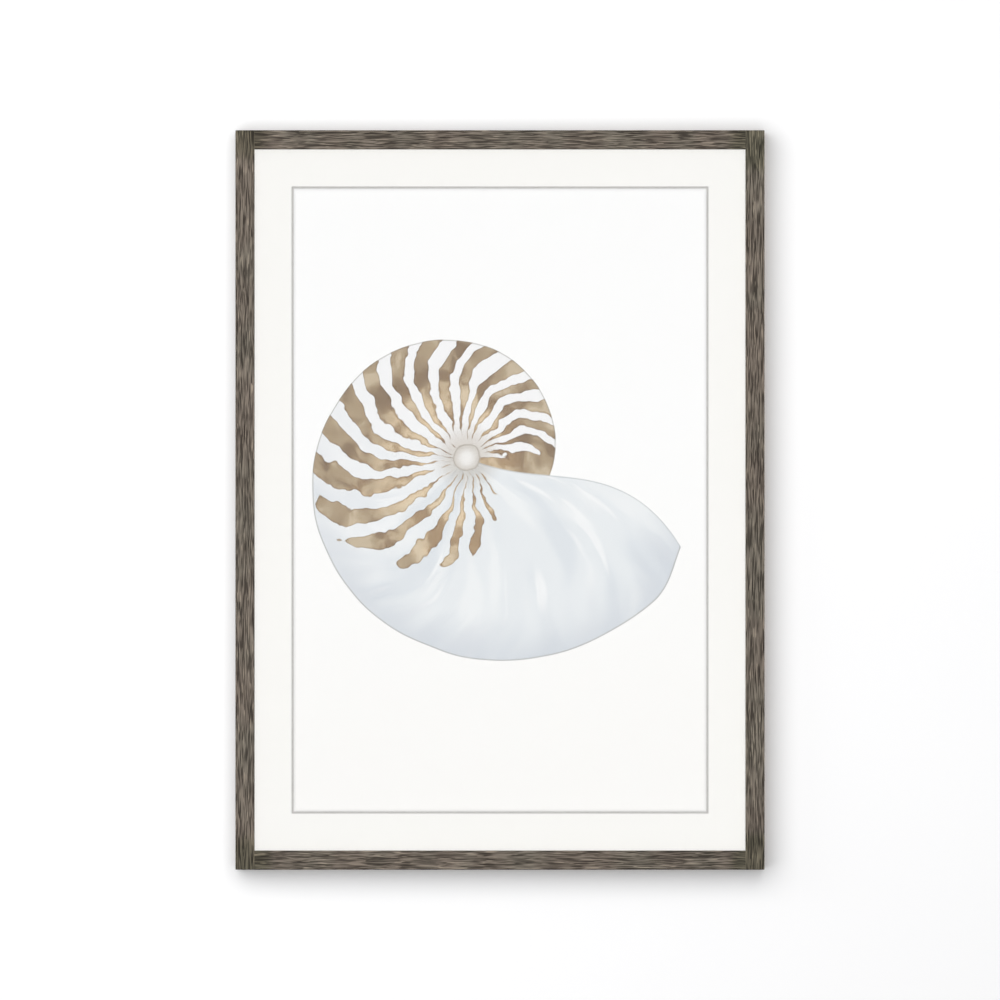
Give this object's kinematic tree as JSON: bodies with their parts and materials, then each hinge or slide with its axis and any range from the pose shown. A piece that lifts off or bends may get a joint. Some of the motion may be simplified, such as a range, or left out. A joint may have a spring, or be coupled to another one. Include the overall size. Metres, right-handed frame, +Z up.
{
  "type": "framed print",
  "caption": "Portrait print of a nautilus shell behind a bevelled mat and clear glazing, in a narrow square-edged driftwood frame with a sawtooth hanger for wall mounting.",
  "frame": {"origin": "the point on the wall plane where the nail carries the middle notch of the hanger", "axes": "+Z up, +Y from the picture into the wall, +X to the right as the viewer sees the picture; the front faces -Y"},
  "size_m": [0.508, 0.028, 0.71],
  "materials": {
    "driftwood": "grey-brown stained, open straight grain, matt",
    "beech": "plain turned hardwood",
    "glazing": "clear, smooth",
    "mat_board": "warm white, fine paper surface, pale cut core",
    "print_paper": "cold-press paper with a watercolour-style print",
    "grey_board": "dense recycled board",
    "plated_steel": "zinc plated",
    "brown_paper": "ribbed kraft paper",
    "rubber": "matt black"
  },
  "bodies": {
    "root": {"stile_left": "driftwood", "stile_right": "driftwood", "rail_top": "driftwood", "rail_bottom": "driftwood", "dowel_1": "beech", "dowel_2": "beech", "dowel_3": "beech", "dowel_4": "beech", "dowel_5": "beech", "dowel_6": "beech", "dowel_7": "beech", "dowel_8": "beech", "glazing": "glazing", "mat_board": "mat_board", "art_print": "print_paper", "backing_board": "grey_board", "framer_point_01": "plated_steel", "framer_point_02": "plated_steel", "framer_point_03": "plated_steel", "framer_point_04": "plated_steel", "framer_point_05": "plated_steel", "framer_point_06": "plated_steel", "framer_point_07": "plated_steel", "framer_point_08": "plated_steel", "framer_point_09": "plated_steel", "framer_point_10": "plated_steel", "framer_point_11": "plated_steel", "framer_point_12": "plated_steel", "dust_cover": "brown_paper", "hanger": "plated_steel", "hanger_screw_left": "plated_steel", "hanger_screw_right": "plated_steel", "bumper_left": "rubber", "bumper_right": "rubber"}
  },
  "joints": []
}
